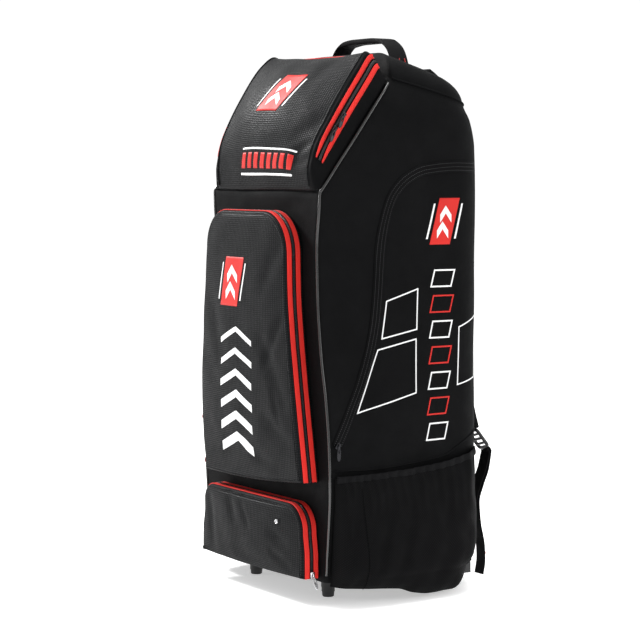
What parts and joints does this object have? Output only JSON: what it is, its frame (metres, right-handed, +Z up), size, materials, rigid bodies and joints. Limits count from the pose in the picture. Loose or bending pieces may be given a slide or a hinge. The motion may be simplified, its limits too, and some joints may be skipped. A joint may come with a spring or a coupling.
{
  "type": "cricket kit bag",
  "caption": "Stand-up wheeled kit bag of cloth with a wedge lid, raised zipped pockets, side pouches, long side zips, grab handle and shoulder straps.",
  "frame": {"origin": "on the floor under the middle of the bag's box", "axes": "+Z up, -Y towards the front pockets, +X to the viewer's right"},
  "size_m": [0.4946, 0.4206, 0.9445],
  "materials": {
    "body_cloth": "woven polyester, matt, charcoal black",
    "coated_cloth": "coated cloth with a fine embossed grid, half gloss",
    "pouch_cloth": "ripstop cloth, matt",
    "red_tape": "ribbed woven tape, bright red",
    "zip": "nylon coil and its cover tape",
    "metal": "gunmetal sliders, pulls, snap and axles",
    "strap_padding": "padded cloth",
    "webbing": "ribbed webbing",
    "piping": "glossy welt",
    "plastic": "moulded plastic",
    "tread": "hard rubber"
  },
  "bodies": {
    "bag": {"axle_left": "metal", "axle_right": "metal", "body_shell": "body_cloth", "buckle_left": "plastic", "buckle_right": "plastic", "foot_left": "plastic", "foot_right": "plastic", "front_pocket": "coated_cloth", "front_slider_1": "metal", "front_slider_2": "metal", "front_tape_back": "red_tape", "front_tape_front": "red_tape", "front_zip": "zip", "handle": "webbing", "lid_pocket": "coated_cloth", "lid_slider_1": "metal", "lid_slider_2": "metal", "lid_tape_inner": "red_tape", "lid_tape_outer": "red_tape", "lid_zip": "zip", "lower_pocket": "coated_cloth", "lower_slider": "metal", "lower_tape_back": "red_tape", "lower_tape_front": "red_tape", "lower_zip": "zip", "piping_left": "piping", "piping_right": "piping", "pocket_rivet": "metal", "shoulder_strap_left": "strap_padding", "shoulder_strap_right": "strap_padding", "side_pouch_left": "pouch_cloth", "side_pouch_right": "pouch_cloth", "side_slider_left": "metal", "side_slider_right": "metal", "side_zip_left": "zip", "side_zip_right": "zip", "strap_tail_left": "webbing", "strap_tail_right": "webbing", "strap_webbing_left": "webbing", "strap_webbing_right": "webbing", "wheel_housing_left": "plastic", "wheel_housing_right": "plastic"},
    "wheel_right": {"wheel_right": "tread"},
    "wheel_left": {"wheel_left": "tread"}
  },
  "joints": [
    {"name": "wheel_right_turn", "type": "hinge", "parent": "bag", "child": "wheel_right", "pos_m": [0.146, 0.10853, 0.035], "axis": [1, 0, 0], "continuous": true},
    {"name": "wheel_left_turn", "type": "hinge", "parent": "bag", "child": "wheel_left", "pos_m": [-0.146, 0.10853, 0.035], "axis": [1, 0, 0], "continuous": true}
  ]
}
